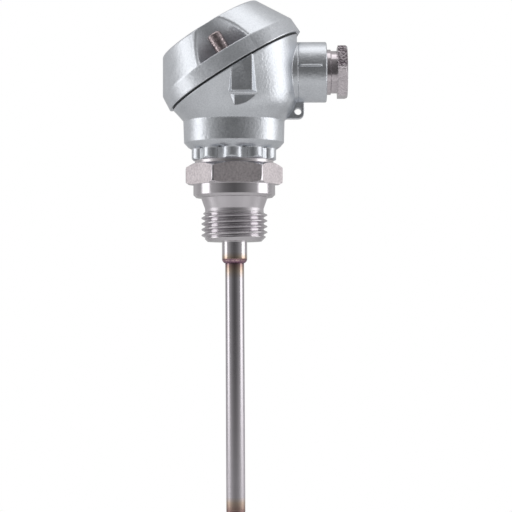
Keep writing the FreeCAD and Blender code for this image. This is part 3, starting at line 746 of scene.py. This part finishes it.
BRASS = grained_material("brass", (0.62, 0.45, 0.20), (0.80, 0.62, 0.30), 1.0, 0.28, scale=3000.0)
RUBBER = grained_material("black_rubber", (0.010, 0.010, 0.011), (0.022, 0.022, 0.024), 0.0, 0.62,
                          relief=0.25)
CERAMIC = grained_material("ceramic", (0.72, 0.70, 0.64), (0.84, 0.82, 0.77), 0.0, 0.35)
RED_LEAD = grained_material("red_lead", (0.45, 0.02, 0.02), (0.62, 0.04, 0.03), 0.0, 0.45)
WHITE_LEAD = grained_material("white_lead", (0.74, 0.74, 0.72), (0.84, 0.84, 0.82), 0.0, 0.45)
print("finishes inside:", [material.name for material in (BRASS, RUBBER, CERAMIC, RED_LEAD, WHITE_LEAD)])

# %% [markdown]
# Shapes that the solids leave plain are built as meshes here. All of them start in a working mesh, and
# several are grids wrapped round something. `join_rings` makes the grid's faces, `mark_sharp` keeps
# real edges crisp under smooth shading, and `finished` makes the object.

# %% Mesh helpers
MERGE = 1e-6
CUT = 1e-7


def copy_of_solid(name):
    """A working mesh of a node, with its doubled points merged."""
    mesh = bmesh.new()
    mesh.from_mesh(nodes[name].data)
    bmesh.ops.remove_doubles(mesh, verts=mesh.verts, dist=MERGE)
    return mesh


def on_circle(angle, radius, z):
    """A point at an angle and a distance from the Z axis."""
    return (radius * math.cos(angle), radius * math.sin(angle), z)


def join_rings(mesh, rings, closed=False):
    """Faces between each ring of points and the next; closed also joins the last to the first."""
    for ring, following in zip(rings, rings[1:] + rings[:1] if closed else rings[1:]):
        for step, vert in enumerate(ring):
            after = (step + 1) % len(ring)
            mesh.faces.new((vert, ring[after], following[after], following[step]))


def mark_sharp(mesh, limit):
    """Keep edges sharp where two faces meet at more than this angle."""
    mesh.normal_update()
    for edge in mesh.edges:
        if edge.calc_face_angle(0.0) > limit:
            edge.smooth = False


def finished(name, mesh):
    """Turn a working mesh into a smooth-shaded object."""
    data = bpy.data.meshes.new(name)
    mesh.to_mesh(data)
    mesh.free()
    data.shade_smooth()
    return add_object(name, data)


print("mesh helpers:", [helper.__name__ for helper in (copy_of_solid, join_rings, mark_sharp, finished)])

# %% [markdown]
# The pipe thread is the largest form that the solids leave plain. A lathe cuts it with a 55-degree tool
# that moves on by one pitch per turn, and it is described here the same way. `thread_profile` is the
# groove's section, with straight flanks and a round crest and root. `thread_radius` gives the surface
# at any angle and height: a chamfer takes the crests off at the bottom, and at the top the groove runs
# out into the undercut.

# %% Thread form
THREAD_RADIUS = 10.4775 * MM
THREAD_PITCH = 1.814 * MM
THREAD_DEPTH = 1.162 * MM
THREAD_PHASE = 0.11
FLANK_SHARE = 0.64
ROUND_SHARE = 0.22
CHAMFER_TOP = -12.1 * MM
CHAMFER_SLOPE = 1.0
THREAD_START = -4.5 * MM
START_SLOPE = 1.1
RELIEF_RADIUS = 9.3 * MM


def held_area(value):
    """Area under a ramp that is held at 0 below 0 and at 1 above 1."""
    return 0.0 if value < 0 else value * value / 2 if value < 1 else value - 0.5


def thread_profile(turns):
    """0 at a crest and 1 at a root: straight flanks with a rounded crest and root."""
    position = 1.0 - abs((turns % 1.0) - 0.5) * 2.0
    ramp = (position - 0.5 + FLANK_SHARE / 2) / FLANK_SHARE
    return (held_area(ramp + ROUND_SHARE) - held_area(ramp - ROUND_SHARE)) / (2 * ROUND_SHARE)


def thread_radius(angle, z):
    """Radius of the threaded stretch, falling away at both ends."""
    turns = z / THREAD_PITCH + THREAD_PHASE - angle / (2 * math.pi)
    radius = THREAD_RADIUS - THREAD_DEPTH * thread_profile(turns)
    low_limit = THREAD_RADIUS - (CHAMFER_TOP - z) * CHAMFER_SLOPE
    top_limit = RELIEF_RADIUS + max(THREAD_START - z, 0.0) * START_SLOPE
    return min(radius, low_limit, top_limit)


print("profile from crest to root:", [round(thread_profile(eighth / 8), 2) for eighth in range(5)])

# %% [markdown]
# The fitting's skin starts as the solid's own. The plain stretch between two level planes is cut out,
# and only the bore's wall inside it stays. The hexagon's upright corners get a small round, because
# bar stock is drawn with soft corners, and such a round catches a thin line of light. Slivers left
# over where a round meets the hexagon's chamfers are merged away.

# %% Cutting and rounding the fitting
THREAD_LOW, THREAD_TOP = -14.0 * MM, -3.6 * MM
BORE_LIMIT = 1.15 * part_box("protection_tube")[1].x
HEX_REACH = 13.5 * MM
CORNER_REACH = 1.05 * HEX_REACH
CORNER_ANGLE = 0.8
CORNER_ROUND = 0.7 * MM
CORNER_STEPS = 6
SLIVER = 5e-6


def cut_plain_thread(mesh):
    """Take out the plain stretch where the thread goes."""
    for height in (THREAD_TOP, THREAD_LOW):
        geometry = mesh.verts[:] + mesh.edges[:] + mesh.faces[:]
        bmesh.ops.bisect_plane(mesh, geom=geometry, plane_co=(0, 0, height), plane_no=(0, 0, 1), dist=CUT)
    plain = []
    for face in mesh.faces:
        middle = face.calc_center_median()
        outside = math.hypot(middle.x, middle.y) > BORE_LIMIT
        if outside and THREAD_LOW - MERGE < middle.z < THREAD_TOP + MERGE:
            plain.append(face)
    bmesh.ops.delete(mesh, geom=plain, context="FACES")


def round_corners(mesh):
    """Break the hexagon's upright corners with a small round; returns how many there are."""
    corners = []
    for edge in mesh.edges:
        first, second = (vert.co for vert in edge.verts)
        upright = abs(second.z - first.z) > 0.99 * (second - first).length
        far_out = math.hypot(first.x, first.y) > CORNER_REACH
        if upright and far_out and edge.calc_face_angle(0.0) > CORNER_ANGLE:
            corners.append(edge)
    bmesh.ops.bevel(mesh, geom=corners, offset=CORNER_ROUND, segments=CORNER_STEPS, profile=0.5,
                    affect="EDGES")
    bmesh.ops.remove_doubles(mesh, verts=mesh.verts, dist=SLIVER)
    bmesh.ops.dissolve_degenerate(mesh, edges=mesh.edges, dist=SLIVER)
    return len(corners)


fitting_mesh = copy_of_solid("process_fitting")
cut_plain_thread(fitting_mesh)
print("hexagon corners rounded:", round_corners(fitting_mesh))

# %% [markdown]
# Now the thread itself: each row of the grid is a height, each column an angle, and the thread's form
# gives the radius. The grid's first and last rows are joined to the open rims that the cut has left,
# so the fitting is one closed skin, as it is one turned piece.

# %% Threaded grid
THREAD_COLUMNS = 144
ROWS_PER_PITCH = 20
RIM_REACH = 0.2 * MM


def add_thread(mesh):
    """Wrap the threaded grid round the axis and join it to the rims above and below."""
    rows = int((THREAD_TOP - THREAD_LOW) / THREAD_PITCH * ROWS_PER_PITCH)
    rings = []
    for row in range(rows):
        z = THREAD_LOW + (THREAD_TOP - THREAD_LOW) * row / rows
        ring = []
        for column in range(THREAD_COLUMNS):
            angle = 2 * math.pi * column / THREAD_COLUMNS
            ring.append(mesh.verts.new(on_circle(angle, max(thread_radius(angle, z), WELD_HIGH.x), z)))
        rings.append(ring)
    join_rings(mesh, rings)
    for height in (THREAD_TOP, THREAD_LOW):
        rim = [edge for edge in mesh.edges
               if edge.is_boundary and abs(edge.verts[0].co.z - height) < RIM_REACH]
        bmesh.ops.bridge_loops(mesh, edges=rim)
    bmesh.ops.recalc_face_normals(mesh, faces=mesh.faces)
    return rows


print("thread rows:", add_thread(fitting_mesh))
print("open edges left:", sum(edge.is_boundary for edge in fitting_mesh.edges))

# %% [markdown]
# One piece, three finishes: milled flats, a duller undercut below the flange, and turned steel
# elsewhere. Each face is told which one it has. Edges beside a flat stay sharp. In the thread only
# steep edges do, so that its round crests and roots look smooth.

# %% Fitting
TURNED, MILLED, RELIEF = 0, 1, 2
LEVEL = 0.01
ON_FLAT = 1e-5
RELIEF_TOP = -0.3 * MM
ROUND_CREASE = math.radians(50)
TURNED_CREASE = math.radians(12)


def finish_of(face):
    """Which of the fitting's three finishes a face has."""
    middle = face.calc_center_median()
    on_flat = abs(face.normal.z) < LEVEL and abs(face.normal.dot(middle) - HEX_REACH) < ON_FLAT
    if middle.z > 0 and on_flat:
        return MILLED
    return RELIEF if THREAD_START < middle.z < RELIEF_TOP else TURNED


def finish_fitting(mesh):
    """Tell each face its finish, and each edge whether it is sharp."""
    mesh.normal_update()
    for face in mesh.faces:
        face.material_index = finish_of(face)
    for edge in mesh.edges:
        middle = (edge.verts[0].co.z + edge.verts[1].co.z) / 2
        in_thread = THREAD_LOW + ON_FLAT < middle < THREAD_TOP - ON_FLAT
        beside_flat = sum(face.material_index == MILLED for face in edge.link_faces) == 1
        limit = ROUND_CREASE if in_thread else TURNED_CREASE
        if beside_flat or edge.calc_face_angle(0.0) > limit:
            edge.smooth = False
    return finished("fitting", mesh)


fitting = finish_fitting(fitting_mesh)
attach(fitting, "head_and_probe")
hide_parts("process_fitting")
print("fitting faces:", len(fitting.data.polygons))

# %% [markdown]
# Ten lobes round the neck of the casting give a grip when the head is screwed on. Each one is a round
# pillar, because metal flows into full curves and the part slips out of its die. In the solid their
# fronts are plain arcs. The casting is copied and cut by planes through the axis, so that it has points
# to move. Then each point outside a pillar's circle is drawn in to it.

# %% Casting with rounded lobes
LOBE_COUNT = 10
LOBE_SPACING = 2 * math.pi / LOBE_COUNT
LOBE_TURN = math.radians(16.0)
LOBE_RADIUS = 13.8 * MM
LOBE_INNER = LOBE_RADIUS - 2.2 * MM
NECK_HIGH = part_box("head_body")[0].z + 3.6 * MM + 1e-5
PILLAR_RADIUS = 3.3 * MM
PILLAR_CUTS = 6
PILLAR_STEP = math.radians(2.2)
CAST_CREASE = math.radians(24)


def pillar_reach(angle):
    """Distance from the axis to the lobe's round front, at an angle from the lobe's middle."""
    middle = LOBE_RADIUS - PILLAR_RADIUS
    across = middle * math.sin(angle)
    return middle * math.cos(angle) + math.sqrt(max(PILLAR_RADIUS ** 2 - across ** 2, 0.0))


def from_lobe(point):
    """Angle of a point from the middle of the nearest lobe."""
    return (math.atan2(point.y, point.x) - LOBE_TURN + LOBE_SPACING / 2) % LOBE_SPACING - LOBE_SPACING / 2


def cut_neck(mesh, angle):
    """Cut the neck's outer faces along an upright plane through the axis."""
    neck = [face for face in mesh.faces
            if max(vert.co.z for vert in face.verts) < NECK_HIGH
            and min(math.hypot(vert.co.x, vert.co.y) for vert in face.verts) > LOBE_INNER]
    parts = {edge for face in neck for edge in face.edges} | {vert for face in neck for vert in face.verts}
    bmesh.ops.bisect_plane(mesh, geom=neck + list(parts), plane_co=(0, 0, 0), dist=CUT,
                           plane_no=(-math.sin(angle), math.cos(angle), 0))


def build_casting():
    """The head's casting with its lobes rounded."""
    mesh = copy_of_solid("head_body")
    for lobe in range(LOBE_COUNT // 2):
        for cut in range(-PILLAR_CUTS, PILLAR_CUTS + 1):
            cut_neck(mesh, LOBE_TURN + lobe * LOBE_SPACING + cut * PILLAR_STEP)
    for vert in mesh.verts:
        reach = math.hypot(vert.co.x, vert.co.y)
        if vert.co.z < NECK_HIGH and reach > LOBE_INNER:
            shrink = min(1.0, pillar_reach(from_lobe(vert.co)) / reach)
            vert.co.x *= shrink
            vert.co.y *= shrink
    mark_sharp(mesh, CAST_CREASE)
    return finished("casting", mesh)


casting = build_casting()
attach(casting, "head_and_probe")
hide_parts("head_body")
print("casting faces:", len(casting.data.polygons))

# %% [markdown]
# A welder's bead isn't smooth. The torch stops and moves on, and each stop leaves a ripple that overlaps
# the one before. The bead is a ring whose section fills the corner between the spigot and the tube. It
# swells and sinks once per ripple, and the ripples lean a little, as the torch did.

# %% Weld bead
RIPPLES = 20
RIPPLE_STEPS = 8
RIPPLE_DEPTH = 0.30 * MM
RIPPLE_LEAN = 0.35
WELD_BITE = 0.05 * MM
WELD_SECTION = [(0.0, 0.0), (0.10, 0.04), (0.24, 0.14), (0.40, 0.32), (0.58, 0.55), (0.78, 0.80),
                (0.92, 0.95), (1.0, 1.0), (0.0, 1.0)]


def build_weld():
    """A ring of ripples; the section's pairs go from 0 to 1 outwards and upwards."""
    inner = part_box("protection_tube")[1].x - WELD_BITE
    mesh = bmesh.new()
    rings = []
    for column in range(RIPPLES * RIPPLE_STEPS):
        angle = 2 * math.pi * column / (RIPPLES * RIPPLE_STEPS)
        phase = (column % RIPPLE_STEPS) / RIPPLE_STEPS
        ring = []
        for out, up in WELD_SECTION:
            ripple = abs(math.sin(math.pi * (phase + RIPPLE_LEAN * up)))
            radius = inner + (WELD_HIGH.x - inner) * out + RIPPLE_DEPTH * ripple * math.sin(math.pi * out)
            z = WELD_LOW.z + (WELD_HIGH.z - WELD_LOW.z) * up
            ring.append(mesh.verts.new(on_circle(angle, min(radius, WELD_HIGH.x), z)))
        rings.append(ring)
    join_rings(mesh, rings, closed=True)
    bmesh.ops.recalc_face_normals(mesh, faces=mesh.faces)
    mark_sharp(mesh, ROUND_CREASE)
    return finished("weld", mesh)


weld = build_weld()
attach(weld, "head_and_probe")
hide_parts("tube_weld")
print("weld faces:", len(weld.data.polygons))

# %% [markdown]
# A casting die has two halves, and a fine ridge stays on the part where they meet. Here it runs along
# the cable boss a little above its axis, at the front and at the back. It is a low bar with a round
# top that follows the boss's surface and fades out at both ends.

# %% Parting ridges
BOSS_RADIUS = 9.6 * MM
BOSS_AXIS_Z = 39.8 * MM
RIDGE_Z = 40.9 * MM
RIDGE_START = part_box("cable_boss")[0].x + 0.1 * MM
RIDGE_LENGTH = 7.6 * MM
RIDGE_HEIGHT = 0.44 * MM
RIDGE_HALF = 0.45 * MM
RIDGE_SINK = 0.02 * MM
RIDGE_SECTIONS = 14
RIDGE_ARC = 7
RIDGE_FADE = 8


def build_ridge(side):
    """A low round-topped bar on the boss; side is -1 at the front and 1 at the back."""
    mesh = bmesh.new()
    rings = []
    for section in range(RIDGE_SECTIONS + 1):
        share = section / RIDGE_SECTIONS
        fade = min(1.0, RIDGE_FADE * share, RIDGE_FADE * (1 - share))
        ring = []
        for step in range(RIDGE_ARC + 1):
            angle = math.pi * step / RIDGE_ARC
            z = RIDGE_Z + RIDGE_HALF * math.cos(angle)
            surface = math.sqrt(BOSS_RADIUS ** 2 - (z - BOSS_AXIS_Z) ** 2)
            rise = RIDGE_HEIGHT * fade * math.sin(angle) - RIDGE_SINK
            ring.append(mesh.verts.new((RIDGE_START + RIDGE_LENGTH * share, side * (surface + rise), z)))
        rings.append(ring)
    join_rings(mesh, rings)
    mesh.faces.new(rings[0])
    mesh.faces.new(rings[-1])
    bmesh.ops.recalc_face_normals(mesh, faces=mesh.faces)
    mark_sharp(mesh, ROUND_CREASE)
    return finished("ridge_front" if side < 0 else "ridge_back", mesh)


ridges = [build_ridge(-1), build_ridge(1)]
for ridge in ridges:
    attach(ridge, "head_and_probe")
print("parting ridges:", [ridge.name for ridge in ridges])

# %% [markdown]
# Each finish goes onto the pieces that have it. The list is the wardrobe of the solids that are seen as
# they are, and the pieces built above are dressed after it. The fitting's three finishes come in the
# order of the numbers that its faces carry.

# %% Dress the pieces
WARDROBE = [
    (SILVER_CASTING, ["cable_boss", "tag_lug"]),
    (SILVER_LID, ["head_lid"]),
    (TUBE_STEEL, ["protection_tube", "tip_plug"]),
    (SEAL_STEEL, ["neck_seal"]),
    (NICKEL, ["gland_screw"]),
    (SCREW_PLATE, ["lid_screw_front", "lid_screw_back"]),
    (ZINC, ["block_screws"] + [f"terminal_screw_{index}" for index in range(1, 5)]),
    (BRASS, ["terminal_clamps", "gland_washer_inner", "gland_washer_outer"]),
    (RUBBER, ["gland_seal", "lid_gasket"]),
    (CERAMIC, ["terminal_block", "insulator_tube", "rtd_element"]),
    (RED_LEAD, ["lead_wires_red"]),
    (WHITE_LEAD, ["lead_wires_white"]),
]
for material, names in WARDROBE:
    for name in names:
        nodes[name].data.materials.clear()
        nodes[name].data.materials.append(material)
for piece in [casting] + ridges:
    piece.data.materials.append(SILVER_CASTING)
for material in (TURNED_STEEL, MILLED_STEEL, RELIEF_STEEL):
    fitting.data.materials.append(material)
weld.data.materials.append(WELD_BEAD)
print("solids dressed:", sum(len(names) for material, names in WARDROBE))
